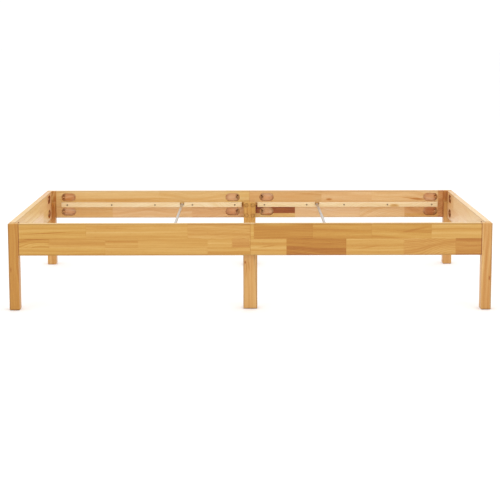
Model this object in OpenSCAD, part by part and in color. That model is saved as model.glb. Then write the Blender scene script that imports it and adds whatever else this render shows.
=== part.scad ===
// Low wooden bed frame for a mattress of 1000 x 2000 mm on a slatted base.
// Millimetres. X runs along the bed, Y across it, Z up. The origin lies on the
// floor under the middle of the bed. The frame is the same at both ends and on
// both sides, so each shape is drawn once, in the quarter with +X and +Y.

/* [Frame] */
// Overall length, over the corner legs
frame_length = 2060; // [1900:10:2300]
// Overall width, over the corner legs
frame_width = 1060; // [860:10:1700]
// Overall height, floor to the top of the rails
frame_height = 375; // [330:5:450]

/* [Rails] */
// Thickness of the side rails and end rails
rail_thickness = 24; // [24:0.5:30]
// Height of the side rails and end rails
rail_height = 137; // [130:1:160]

/* [Legs] */
// Side of the square corner legs
leg_side = 43; // [43:1:60]
// Width of the two middle legs, along the rail
mid_leg_width = 60; // [56:1:76]
// Depth of the two middle legs, across the rail
mid_leg_depth = 43; // [36:1:50]
// Chamfer around each foot
foot_chamfer = 3; // [1:0.5:5]

/* [Pockets for the rail joints] */
// Length of a pocket
pocket_length = 72; // [60:1:80]
// Width of a pocket, with half-round ends
pocket_width = 40; // [36:1:42]
// Depth of a pocket
pocket_depth = 18; // [17:0.5:19]
// Height between the upper and the lower row of pockets
pocket_pitch = 73; // [72:1:78]
// Wood left between a pocket and a corner leg
pocket_corner_wood = 30; // [26:1:36]
// Wood left between a pocket and the middle seam
pocket_seam_wood = 50; // [44:1:56]

/* [Ledgers] */
// Side of the square ledger strips
ledger_side = 22; // [20:1:24]
// Gap between a ledger and the middle leg
ledger_mid_gap = 10; // [2:1:16]
// Gap between a ledger and the corner leg
ledger_corner_gap = 32; // [6:1:40]

/* [Crossbars] */
// Distance of each crossbar from the middle of the bed
crossbar_offset = 343; // [320:1:440]
// Diameter of the crossbar tubes
tube_diameter = 13; // [10:0.5:13]
// Wall of the crossbar tubes
tube_wall = 1.2; // [1:0.1:1.5]
// Length of the flattened end of a crossbar
flat_length = 40; // [30:1:60]
// Gap between a crossbar's end and the rail
crossbar_end_gap = 5; // [2:1:8]
// Width of the notch in the ledger
notch_width = 22; // [20:1:28]
// Depth of the notch in the ledger
notch_depth = 11; // [9:1:14]

/* [Corner and seam hardware] */
// Diameter of the studs
stud_diameter = 8; // [6:0.5:8]
// Length of a corner stud
stud_length = 64; // [64:1:76]
// Length of a seam stud
seam_stud_length = 140; // [136:1:150]
// Width of a nut across its flats
nut_flats = 13; // [10:1:13]
// Thickness of a nut
nut_height = 6.5; // [5:0.5:8]
// Chord of a half-moon washer
washer_chord = 30; // [24:1:32]
// Thickness of a half-moon washer along the stud
washer_thickness = 8; // [7.5:0.5:10]
// Height of a half-moon washer out of the pocket floor
washer_height = 14; // [13:1:16]
// Outer diameter of a threaded insert
insert_diameter = 12; // [10:0.5:12]
// Length of a threaded insert in a corner leg
leg_insert_length = 18; // [14:1:19]
// Diameter of the dowels
dowel_diameter = 8; // [6:1:8]
// Length of the dowels
dowel_length = 30; // [20:1:34]
// Height between the two dowels of a joint
dowel_pitch = 28; // [28:1:30]

/* [Middle leg bolts] */
// Diameter of the flat bolt head
bolt_head_diameter = 17; // [14:0.5:19]
// Thickness of the flat bolt head
bolt_head_height = 3; // [2:0.5:5]
// Length of the bolt below its head
bolt_length = 50; // [44:1:52]
// Hexagon socket in the bolt head, across its flats
bolt_socket = 5; // [4:0.5:6]
// Diameter of the counterbore
counterbore_diameter = 20; // [19.5:0.5:21]
// Depth of the counterbore
counterbore_depth = 6; // [5:0.5:8]
// Distance of each bolt from the seam
bolt_offset = 16; // [15:0.5:17]
// Height between the upper and the lower pair of bolts
bolt_pitch = 52; // [50:1:54]
// Length of a threaded insert in a rail
rail_insert_length = 16; // [12:1:18]

/* [Screws] */
// Head diameter of the ledger and crossbar screws
screw_head = 8.5; // [7:0.5:9]
// Shank diameter of the ledger and crossbar screws
screw_shank = 4; // [3.5:0.5:4.5]
// Length of a ledger screw
ledger_screw_length = 40; // [32:1:42]
// Length of a crossbar screw below its head
crossbar_screw_length = 9.5; // [8:0.5:10]
// Height of the round head of a crossbar screw
pan_height = 2.6; // [2:0.1:3]

/* [Hidden] */
$fn = 48;

// Colours: oiled hardwood, its fresh-cut dowels, pale softwood and the metals
hardwood = [0.82, 0.63, 0.36];
dowel_wood = [0.87, 0.74, 0.54];
softwood = [0.95, 0.83, 0.65];
light_metal = [0.81, 0.81, 0.82];
zinc = [0.62, 0.63, 0.65];
bronzed_steel = [0.45, 0.34, 0.23];
brass = [0.72, 0.56, 0.30];
dark_steel = [0.30, 0.28, 0.26];

// Small clearances: depth a hole runs past a face, play of a stud in wood,
// play of a thread or dowel in its hole
past = 1;
stud_play = 1;
fit_play = 0.1;

// Faces of the frame in the +X, +Y quarter
outer_x = frame_length / 2;
outer_y = frame_width / 2;
inner_x = outer_x - rail_thickness;
inner_y = outer_y - rail_thickness;
leg_x = outer_x - leg_side;
leg_y = outer_y - leg_side;
rail_bottom = frame_height - rail_height;
rail_middle = rail_bottom + rail_height / 2;

// Studs run along the rail, nearer to the inner face than to the outer one
stud_inset = rail_thickness - 11;
stud_y = outer_y - stud_inset;
stud_x = outer_x - stud_inset;
pocket_radius = pocket_width / 2;
pocket_levels = [rail_middle - pocket_pitch / 2, rail_middle + pocket_pitch / 2];
dowel_levels = [rail_middle - dowel_pitch / 2, rail_middle + dowel_pitch / 2];
stud_above_floor = stud_inset - (rail_thickness - pocket_depth);
insert_spare = 2;
dowel_hole_depth = dowel_length / 2 + 0.5;

// Screw heads: height of the rim, and the cross recess
head_rim = 0.4;
recess_width = 1.2;
recess_depth = 1.6;

// Ledgers run along the middle of the rails, between the two rows of pockets
ledger_top = rail_middle + ledger_side / 2;
ledger_bottom = rail_middle - ledger_side / 2;
ledger_start = mid_leg_width / 2 + ledger_mid_gap;
ledger_end = leg_x - ledger_corner_gap;
notch_floor = ledger_top - notch_depth;
ledger_run = ledger_end - ledger_start;
screw_places = [35, 250, 440, 660, ledger_run - 30];

// Crossbars: a tube that is pressed flat where it lies in the ledgers' notches.
// The flats lie level with the middle of the tube.
crossbar_half = inner_y - crossbar_end_gap;
crossbar_screw_y = inner_y - ledger_side / 2;
flat_thickness = 2 * tube_wall;
flat_width = PI * (tube_diameter - tube_wall) / 2 + tube_wall;
flat_overlap = 8;

// Bolts of the middle legs: the upper pair at the ledgers' height
mid_leg_front = inner_y - mid_leg_depth;
bolt_levels = [rail_middle - bolt_pitch, rail_middle];

// ---------------------------------------------------------------- placing

// Moves a shape of the +X, +Y quarter to the side and end that the signs give
module in_quarter(side_x, side_y) {
    if (side_x < 0 && side_y < 0) mirror([1, 0, 0]) mirror([0, 1, 0]) children();
    else if (side_x < 0) mirror([1, 0, 0]) children();
    else if (side_y < 0) mirror([0, 1, 0]) children();
    else children();
}

// The same shape at +X and -X, on the side that the sign gives
module both_halves(side_y) {
    for (side_x = [-1, 1]) in_quarter(side_x, side_y) children();
}

module along_x() {
    rotate([0, 90, 0]) children();
}

module along_y() {
    rotate([-90, 0, 0]) children();
}

// The joint faces of a corner leg: the child's +Z points into the leg
module at_corner_joints(levels, inset) {
    for (level = levels) {
        translate([leg_x, outer_y - inset, level]) along_x() children();
        translate([outer_x - inset, leg_y, level]) along_y() children();
    }
}

// The round end walls of the pockets beside a corner leg: the child's +Z points
// into the pocket, away from the leg, and its +Y out of the pocket
module at_corner_pockets() {
    for (level = pocket_levels) {
        translate([leg_x - pocket_corner_wood, stud_y, level]) rotate([180, 90, 0]) children();
        translate([stud_x, leg_y - pocket_corner_wood, level]) rotate([90, -90, 0]) children();
    }
}

// The same for the pockets beside the seam
module at_seam_pockets() {
    for (level = pocket_levels)
        translate([pocket_seam_wood, stud_y, level]) rotate([180, -90, 0]) children();
}

module at_ledger_screws() {
    for (place = screw_places)
        translate([ledger_start + place, inner_y - ledger_side, rail_middle])
            along_y() children();
}

module at_crossbar_screws() {
    for (side = [-1, 1])
        translate([crossbar_offset, side * crossbar_screw_y, notch_floor + flat_thickness])
            rotate([180, 0, 0]) children();
}

// ---------------------------------------------------------------- hardware

module insert(length) {
    difference() {
        cylinder(d = insert_diameter, h = length);
        translate([0, 0, -past]) cylinder(d = stud_diameter + fit_play, h = length + 2 * past);
    }
}

module hex_nut() {
    difference() {
        cylinder(r = nut_flats / 2 / cos(30), h = nut_height, $fn = 6);
        translate([0, 0, -past])
            cylinder(d = stud_diameter + fit_play, h = nut_height + 2 * past);
    }
}

// Its round side fits the round end wall of a pocket, and its flat side takes the nut
module half_moon_washer() {
    difference() {
        intersection() {
            translate([0, -stud_above_floor, pocket_radius]) along_y()
                cylinder(r = pocket_radius, h = washer_height);
            translate([-washer_chord / 2, -stud_above_floor, 0])
                cube([washer_chord, washer_height, washer_thickness]);
        }
        translate([0, 0, -past])
            cylinder(d = stud_diameter + stud_play, h = washer_thickness + 2 * past);
    }
}

// The cross recess of a screw head whose top is at z = 0
module cross_recess() {
    recess = screw_head * 0.55;
    for (turn = [0, 90]) rotate(turn)
        translate([-recess / 2, -recess_width / 2, -past])
            cube([recess, recess_width, past + recess_depth]);
}

// Countersunk screw, its head flush with z = 0
module wood_screw(length) {
    head_radius = screw_head / 2;
    shank_radius = screw_shank / 2;
    neck = head_rim + head_radius - shank_radius;
    difference() {
        rotate_extrude() polygon([
            [0, 0], [head_radius, 0], [head_radius, head_rim], [shank_radius, neck],
            [shank_radius, length - screw_shank], [0, length]
        ]);
        cross_recess();
    }
}

// Screw with a round head that stands on z = 0, its shank at +Z
module pan_screw(length) {
    head_radius = screw_head / 2;
    shank_radius = screw_shank / 2;
    difference() {
        rotate_extrude() polygon([
            [0, -pan_height], [head_radius - pan_height / 2, -pan_height],
            [head_radius, -pan_height / 2], [head_radius, 0], [shank_radius, 0],
            [shank_radius, length - screw_shank / 2], [0, length]
        ]);
        translate([0, 0, -pan_height]) cross_recess();
    }
}

module screw_hole(length) {
    head_radius = (screw_head + fit_play) / 2;
    shank_radius = (screw_shank + fit_play) / 2;
    neck = head_rim + head_radius - shank_radius;
    rotate_extrude() polygon([
        [0, -past], [head_radius, -past], [head_radius, head_rim], [shank_radius, neck],
        [shank_radius, length + past], [0, length + past]
    ]);
}

module connector_bolt() {
    difference() {
        union() {
            cylinder(d = bolt_head_diameter, h = bolt_head_height);
            cylinder(d = stud_diameter, h = bolt_head_height + bolt_length);
        }
        translate([0, 0, -past])
            cylinder(r = bolt_socket / 2 / cos(30), h = past + bolt_head_height + 1, $fn = 6);
    }
}

// ---------------------------------------------------------------- wood cuts

module foot_outline(width) {
    polygon([
        [foot_chamfer, 0], [width - foot_chamfer, 0], [width, foot_chamfer],
        [width, frame_height], [0, frame_height], [0, foot_chamfer]
    ]);
}

// A post with a chamfered foot, standing with its corner at the origin
module post(size_x, size_y) {
    intersection() {
        translate([0, size_y + past, 0]) rotate([90, 0, 0])
            linear_extrude(size_y + 2 * past) foot_outline(size_x);
        translate([-past, 0, 0]) rotate([90, 0, 90])
            linear_extrude(size_x + 2 * past) foot_outline(size_y);
    }
}

module hole(diameter, depth) {
    translate([0, 0, -past]) cylinder(d = diameter, h = depth + past);
}

module dowel_hole() {
    hole(dowel_diameter + fit_play, dowel_hole_depth);
}

// A pocket with half-round ends, cut to its depth below z = 0
module pocket() {
    straight = pocket_length - pocket_width;
    for (end = [-1, 1])
        translate([end * straight / 2, 0, 0]) hole(pocket_width, pocket_depth);
    translate([-straight / 2, -pocket_radius, -past])
        cube([straight, pocket_width, pocket_depth + past]);
}

// Pockets, stud holes and dowel holes at one end of a rail. The joint face is
// at x = 0, the inner face at y = 0, and the rail lies at +X and +Y.
module rail_end_cuts(joint_wood) {
    for (level = pocket_levels) {
        translate([joint_wood + pocket_length / 2, 0, level]) along_y() pocket();
        translate([0, rail_thickness - stud_inset, level]) along_x()
            hole(stud_diameter + stud_play, joint_wood + pocket_radius / 2);
    }
    for (level = dowel_levels)
        translate([0, rail_thickness / 2, level]) along_x() dowel_hole();
}

// ---------------------------------------------------------------- wooden pieces

// The inner corner is cut away above the ledgers, where a slatted base drops in
module corner_leg() {
    difference() {
        translate([leg_x, leg_y, 0]) post(leg_side, leg_side);
        translate([leg_x - past, leg_y - past, ledger_top])
            cube([inner_x - leg_x + past, inner_y - leg_y + past, frame_height]);
        at_corner_joints(pocket_levels, stud_inset)
            hole(insert_diameter + fit_play, leg_insert_length + insert_spare);
        at_corner_joints(dowel_levels, rail_thickness / 2) dowel_hole();
    }
}

module mid_leg() {
    difference() {
        translate([-mid_leg_width / 2, mid_leg_front, 0]) post(mid_leg_width, mid_leg_depth);
        translate([-mid_leg_width, mid_leg_front - past, ledger_top])
            cube([2 * mid_leg_width, mid_leg_depth + 2 * past, frame_height]);
        for (side = [-1, 1], level = bolt_levels)
            translate([side * bolt_offset, mid_leg_front, level]) along_y() {
                hole(counterbore_diameter, counterbore_depth);
                hole(stud_diameter + stud_play, mid_leg_depth + past);
            }
    }
}

// One half of a side rail, from the middle seam to the corner leg
module side_rail() {
    difference() {
        translate([0, inner_y, rail_bottom]) cube([leg_x, rail_thickness, rail_height]);
        translate([0, inner_y, 0]) rail_end_cuts(pocket_seam_wood);
        translate([leg_x, inner_y, 0]) mirror([1, 0, 0]) rail_end_cuts(pocket_corner_wood);
        for (level = bolt_levels)
            translate([bolt_offset, inner_y, level]) along_y()
                hole(insert_diameter + fit_play, rail_insert_length + insert_spare);
        at_ledger_screws() screw_hole(ledger_screw_length);
    }
}

module end_rail() {
    difference() {
        translate([inner_x, -leg_y, rail_bottom])
            cube([rail_thickness, 2 * leg_y, rail_height]);
        translate([inner_x, leg_y, 0]) rotate(-90) rail_end_cuts(pocket_corner_wood);
        mirror([0, 1, 0]) translate([inner_x, leg_y, 0]) rotate(-90)
            rail_end_cuts(pocket_corner_wood);
    }
}

module ledger() {
    difference() {
        translate([ledger_start, inner_y - ledger_side, ledger_bottom])
            cube([ledger_run, ledger_side, ledger_side]);
        translate([crossbar_offset - notch_width / 2, inner_y - ledger_side - past, notch_floor])
            cube([notch_width, ledger_side + 2 * past, notch_depth + past]);
        at_ledger_screws() screw_hole(ledger_screw_length);
        at_crossbar_screws() hole(screw_shank + fit_play, crossbar_screw_length);
    }
}

module corner_dowels() {
    at_corner_joints(dowel_levels, rail_thickness / 2)
        translate([0, 0, -dowel_length / 2]) cylinder(d = dowel_diameter, h = dowel_length);
}

module seam_dowels() {
    for (level = dowel_levels)
        translate([-dowel_length / 2, outer_y - rail_thickness / 2, level]) along_x()
            cylinder(d = dowel_diameter, h = dowel_length);
}

// ---------------------------------------------------------------- metal pieces

module crossbar_tube() {
    half = crossbar_half - flat_length;
    translate([crossbar_offset, -half, notch_floor + flat_thickness / 2])
        along_y() difference() {
            cylinder(d = tube_diameter, h = 2 * half);
            translate([0, 0, -past])
                cylinder(d = tube_diameter - 2 * tube_wall, h = 2 * (half + past));
        }
}

module crossbar_flat() {
    length = flat_length + flat_overlap;
    translate([crossbar_offset - flat_width / 2, crossbar_half - length, notch_floor])
        cube([flat_width, length, flat_thickness]);
}

module crossbar() {
    difference() {
        union() {
            crossbar_tube();
            crossbar_flat();
            mirror([0, 1, 0]) crossbar_flat();
        }
        at_crossbar_screws() hole(screw_shank + fit_play, crossbar_screw_length);
    }
}

module corner_studs() {
    at_corner_joints(pocket_levels, stud_inset)
        translate([0, 0, leg_insert_length - stud_length])
            cylinder(d = stud_diameter, h = stud_length);
}

module seam_studs() {
    for (level = pocket_levels)
        translate([-seam_stud_length / 2, stud_y, level]) along_x()
            cylinder(d = stud_diameter, h = seam_stud_length);
}

module mid_leg_bolts() {
    for (side = [-1, 1], level = bolt_levels)
        translate([side * bolt_offset, mid_leg_front + counterbore_depth - bolt_head_height, level])
            along_y() connector_bolt();
}

module mid_leg_inserts() {
    for (side = [-1, 1], level = bolt_levels)
        translate([side * bolt_offset, inner_y, level]) along_y() insert(rail_insert_length);
}

// ---------------------------------------------------------------- sub-parts

module leg_front_left() {
    color(hardwood) in_quarter(-1, -1) corner_leg();
}

module leg_front_right() {
    color(hardwood) in_quarter(1, -1) corner_leg();
}

module leg_back_left() {
    color(hardwood) in_quarter(-1, 1) corner_leg();
}

module leg_back_right() {
    color(hardwood) in_quarter(1, 1) corner_leg();
}

module mid_leg_front() {
    color(hardwood) in_quarter(1, -1) mid_leg();
}

module mid_leg_back() {
    color(hardwood) in_quarter(1, 1) mid_leg();
}

module side_rail_front_left() {
    color(hardwood) in_quarter(-1, -1) side_rail();
}

module side_rail_front_right() {
    color(hardwood) in_quarter(1, -1) side_rail();
}

module side_rail_back_left() {
    color(hardwood) in_quarter(-1, 1) side_rail();
}

module side_rail_back_right() {
    color(hardwood) in_quarter(1, 1) side_rail();
}

module end_rail_left() {
    color(hardwood) in_quarter(-1, 1) end_rail();
}

module end_rail_right() {
    color(hardwood) in_quarter(1, 1) end_rail();
}

module ledger_front_left() {
    color(softwood) in_quarter(-1, -1) ledger();
}

module ledger_front_right() {
    color(softwood) in_quarter(1, -1) ledger();
}

module ledger_back_left() {
    color(softwood) in_quarter(-1, 1) ledger();
}

module ledger_back_right() {
    color(softwood) in_quarter(1, 1) ledger();
}

module crossbar_left() {
    color(light_metal) in_quarter(-1, 1) crossbar();
}

module crossbar_right() {
    color(light_metal) in_quarter(1, 1) crossbar();
}

module corner_inserts_front_left() {
    color(brass) in_quarter(-1, -1) at_corner_joints(pocket_levels, stud_inset)
        insert(leg_insert_length);
}

module corner_inserts_front_right() {
    color(brass) in_quarter(1, -1) at_corner_joints(pocket_levels, stud_inset)
        insert(leg_insert_length);
}

module corner_inserts_back_left() {
    color(brass) in_quarter(-1, 1) at_corner_joints(pocket_levels, stud_inset)
        insert(leg_insert_length);
}

module corner_inserts_back_right() {
    color(brass) in_quarter(1, 1) at_corner_joints(pocket_levels, stud_inset)
        insert(leg_insert_length);
}

module corner_studs_front_left() {
    color(bronzed_steel) in_quarter(-1, -1) corner_studs();
}

module corner_studs_front_right() {
    color(bronzed_steel) in_quarter(1, -1) corner_studs();
}

module corner_studs_back_left() {
    color(bronzed_steel) in_quarter(-1, 1) corner_studs();
}

module corner_studs_back_right() {
    color(bronzed_steel) in_quarter(1, 1) corner_studs();
}

module corner_washers_front_left() {
    color(bronzed_steel) in_quarter(-1, -1) at_corner_pockets() half_moon_washer();
}

module corner_washers_front_right() {
    color(bronzed_steel) in_quarter(1, -1) at_corner_pockets() half_moon_washer();
}

module corner_washers_back_left() {
    color(bronzed_steel) in_quarter(-1, 1) at_corner_pockets() half_moon_washer();
}

module corner_washers_back_right() {
    color(bronzed_steel) in_quarter(1, 1) at_corner_pockets() half_moon_washer();
}

module corner_nuts_front_left() {
    color(bronzed_steel) in_quarter(-1, -1) at_corner_pockets()
        translate([0, 0, washer_thickness]) hex_nut();
}

module corner_nuts_front_right() {
    color(bronzed_steel) in_quarter(1, -1) at_corner_pockets()
        translate([0, 0, washer_thickness]) hex_nut();
}

module corner_nuts_back_left() {
    color(bronzed_steel) in_quarter(-1, 1) at_corner_pockets()
        translate([0, 0, washer_thickness]) hex_nut();
}

module corner_nuts_back_right() {
    color(bronzed_steel) in_quarter(1, 1) at_corner_pockets()
        translate([0, 0, washer_thickness]) hex_nut();
}

module corner_dowels_front_left() {
    color(dowel_wood) in_quarter(-1, -1) corner_dowels();
}

module corner_dowels_front_right() {
    color(dowel_wood) in_quarter(1, -1) corner_dowels();
}

module corner_dowels_back_left() {
    color(dowel_wood) in_quarter(-1, 1) corner_dowels();
}

module corner_dowels_back_right() {
    color(dowel_wood) in_quarter(1, 1) corner_dowels();
}

module seam_studs_front() {
    color(bronzed_steel) in_quarter(1, -1) seam_studs();
}

module seam_studs_back() {
    color(bronzed_steel) in_quarter(1, 1) seam_studs();
}

module seam_washers_front() {
    color(bronzed_steel) both_halves(-1) at_seam_pockets() half_moon_washer();
}

module seam_washers_back() {
    color(bronzed_steel) both_halves(1) at_seam_pockets() half_moon_washer();
}

module seam_nuts_front() {
    color(bronzed_steel) both_halves(-1) at_seam_pockets()
        translate([0, 0, washer_thickness]) hex_nut();
}

module seam_nuts_back() {
    color(bronzed_steel) both_halves(1) at_seam_pockets()
        translate([0, 0, washer_thickness]) hex_nut();
}

module seam_dowels_front() {
    color(dowel_wood) in_quarter(1, -1) seam_dowels();
}

module seam_dowels_back() {
    color(dowel_wood) in_quarter(1, 1) seam_dowels();
}

module mid_leg_bolts_front() {
    color(brass) in_quarter(1, -1) mid_leg_bolts();
}

module mid_leg_bolts_back() {
    color(brass) in_quarter(1, 1) mid_leg_bolts();
}

module mid_leg_inserts_front() {
    color(brass) in_quarter(1, -1) mid_leg_inserts();
}

module mid_leg_inserts_back() {
    color(brass) in_quarter(1, 1) mid_leg_inserts();
}

module ledger_screws_front_left() {
    color(dark_steel) in_quarter(-1, -1) at_ledger_screws()
        wood_screw(ledger_screw_length);
}

module ledger_screws_front_right() {
    color(dark_steel) in_quarter(1, -1) at_ledger_screws()
        wood_screw(ledger_screw_length);
}

module ledger_screws_back_left() {
    color(dark_steel) in_quarter(-1, 1) at_ledger_screws()
        wood_screw(ledger_screw_length);
}

module ledger_screws_back_right() {
    color(dark_steel) in_quarter(1, 1) at_ledger_screws()
        wood_screw(ledger_screw_length);
}

module crossbar_screws_left() {
    color(zinc) in_quarter(-1, 1) at_crossbar_screws()
        pan_screw(crossbar_screw_length);
}

module crossbar_screws_right() {
    color(zinc) in_quarter(1, 1) at_crossbar_screws()
        pan_screw(crossbar_screw_length);
}

leg_front_left();
leg_front_right();
leg_back_left();
leg_back_right();
mid_leg_front();
mid_leg_back();
side_rail_front_left();
side_rail_front_right();
side_rail_back_left();
side_rail_back_right();
end_rail_left();
end_rail_right();
ledger_front_left();
ledger_front_right();
ledger_back_left();
ledger_back_right();
crossbar_left();
crossbar_right();
corner_inserts_front_left();
corner_inserts_front_right();
corner_inserts_back_left();
corner_inserts_back_right();
corner_studs_front_left();
corner_studs_front_right();
corner_studs_back_left();
corner_studs_back_right();
corner_washers_front_left();
corner_washers_front_right();
corner_washers_back_left();
corner_washers_back_right();
corner_nuts_front_left();
corner_nuts_front_right();
corner_nuts_back_left();
corner_nuts_back_right();
corner_dowels_front_left();
corner_dowels_front_right();
corner_dowels_back_left();
corner_dowels_back_right();
seam_studs_front();
seam_studs_back();
seam_washers_front();
seam_washers_back();
seam_nuts_front();
seam_nuts_back();
seam_dowels_front();
seam_dowels_back();
mid_leg_bolts_front();
mid_leg_bolts_back();
mid_leg_inserts_front();
mid_leg_inserts_back();
ledger_screws_front_left();
ledger_screws_front_right();
ledger_screws_back_left();
ledger_screws_back_right();
crossbar_screws_left();
crossbar_screws_right();
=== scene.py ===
import math

import bmesh
import bpy
from mathutils import Matrix, Vector


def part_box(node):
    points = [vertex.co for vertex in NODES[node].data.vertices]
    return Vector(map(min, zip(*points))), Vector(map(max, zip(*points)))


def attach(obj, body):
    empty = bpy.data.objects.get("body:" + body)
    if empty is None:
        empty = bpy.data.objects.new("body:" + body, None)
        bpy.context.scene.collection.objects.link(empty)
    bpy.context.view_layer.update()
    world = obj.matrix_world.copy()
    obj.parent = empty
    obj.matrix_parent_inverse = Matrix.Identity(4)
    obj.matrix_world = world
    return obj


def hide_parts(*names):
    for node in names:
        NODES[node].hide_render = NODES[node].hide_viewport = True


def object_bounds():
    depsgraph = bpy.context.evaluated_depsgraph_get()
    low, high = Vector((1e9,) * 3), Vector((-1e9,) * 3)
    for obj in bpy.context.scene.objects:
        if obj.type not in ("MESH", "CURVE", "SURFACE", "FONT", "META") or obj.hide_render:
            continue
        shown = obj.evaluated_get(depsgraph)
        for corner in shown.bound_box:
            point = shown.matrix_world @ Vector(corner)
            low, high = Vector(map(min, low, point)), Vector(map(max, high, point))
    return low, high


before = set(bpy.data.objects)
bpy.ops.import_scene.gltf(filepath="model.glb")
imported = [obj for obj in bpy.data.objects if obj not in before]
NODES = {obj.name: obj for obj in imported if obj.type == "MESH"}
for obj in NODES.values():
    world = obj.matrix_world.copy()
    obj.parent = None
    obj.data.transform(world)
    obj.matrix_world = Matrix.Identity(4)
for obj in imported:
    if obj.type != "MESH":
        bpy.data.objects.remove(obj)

CAD_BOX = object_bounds()
LO, HI = CAD_BOX
MIDDLE = (LO + HI) / 2
BOX = {name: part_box(name) for name in NODES}
SIDES = ("front", "back")
ENDS = ("left", "right")
CORNERS = [f"{side}_{end}" for side in SIDES for end in ENDS]


# -------- camera, floor and light

CAMERA_OFFSET = Vector((-0.017, -5.130, 1.208))  # from the middle of the near side, at the floor
CAMERA_PITCH = 6.95  # degrees below level
CAMERA_YAW = 0.189  # degrees towards +X
CAMERA_ROLL = 0.072  # degrees
CAMERA_LENS = 88.05  # mm
CAMERA_SENSOR = 36  # mm
CAMERA_SHIFT = -0.15  # towards the photograph's upright verticals
CAMERA_REACH = 200  # metres, past the far edge of the floor

WHITE = (1.0, 1.0, 1.0, 1.0)
SURROUND_STRENGTH = 1.06
SOFT_BOXES = {  # position, side of the box in metres, watts
    "overhead_box": ((0.0, -0.4, 4.2), 4.5, 50),
    "front_box_left": ((-3.2, -4.6, 2.4), 2.4, 8),
    "front_box_right": ((3.2, -4.6, 2.4), 2.4, 14),
}
FLOOR_SIZE = 120.0
FLOOR_TONES = ((0.95, 0.95, 0.95), (0.97, 0.97, 0.968))
FLOOR_GLOSS = 0.2


def add_object(name, data):
    """Puts a new object in the scene."""
    thing = bpy.data.objects.new(name, data)
    bpy.context.scene.collection.objects.link(thing)
    return thing


def make_camera():
    """The photograph's viewpoint: low, square to the long side."""
    data = bpy.data.cameras.new("camera")
    data.lens = CAMERA_LENS
    data.sensor_width = CAMERA_SENSOR
    data.shift_y = CAMERA_SHIFT
    data.clip_end = CAMERA_REACH
    camera = add_object("camera", data)
    camera.location = Vector((MIDDLE.x, LO.y, LO.z)) + CAMERA_OFFSET
    turn = (90 - CAMERA_PITCH, CAMERA_ROLL, -CAMERA_YAW)
    camera.rotation_euler = [math.radians(angle) for angle in turn]
    bpy.context.scene.camera = camera


def add_soft_box(name, position, size, power):
    """A soft box that faces the middle of the bed."""
    data = bpy.data.lights.new(name, "AREA")
    data.shape = "SQUARE"
    data.size = size
    data.energy = power
    light = add_object(name, data)
    light.location = position
    light.rotation_euler = (MIDDLE - Vector(position)).to_track_quat("-Z", "Y").to_euler()


def make_studio():
    """A white room: an even white surround, an overhead box and two frontal boxes."""
    world = bpy.data.worlds.new("studio")
    world.use_nodes = True
    background = world.node_tree.nodes["Background"]
    background.inputs["Color"].default_value = WHITE
    background.inputs["Strength"].default_value = SURROUND_STRENGTH
    scene = bpy.context.scene
    scene.world = world
    scene.view_settings.view_transform = "Standard"
    scene.view_settings.look = "None"
    for name, looks in SOFT_BOXES.items():
        add_soft_box(name, *looks)


def make_floor():
    """A plain pale floor under the feet."""
    mesh = bpy.data.meshes.new("floor")
    half = FLOOR_SIZE / 2
    corners = [(-half, -half, LO.z), (half, -half, LO.z), (half, half, LO.z), (-half, half, LO.z)]
    mesh.from_pydata(corners, [], [(0, 1, 2, 3)])
    floor = add_object("floor", mesh)
    paint = Nodes.material("floor_white")
    grain = paint.noise(paint.object_point(), (3.0, 3.0, 3.0), detail=3.0)
    rough = paint.add("ShaderNodeMapRange", {"Value": grain, "To Min": 0.75, "To Max": 0.85})
    paint.surface(
        base=paint.mix_colour(grain, *FLOOR_TONES),
        roughness=rough.outputs["Result"],
        specular=FLOOR_GLOSS,
    )
    mesh.materials.append(paint.owner)


# -------- node building


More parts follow.
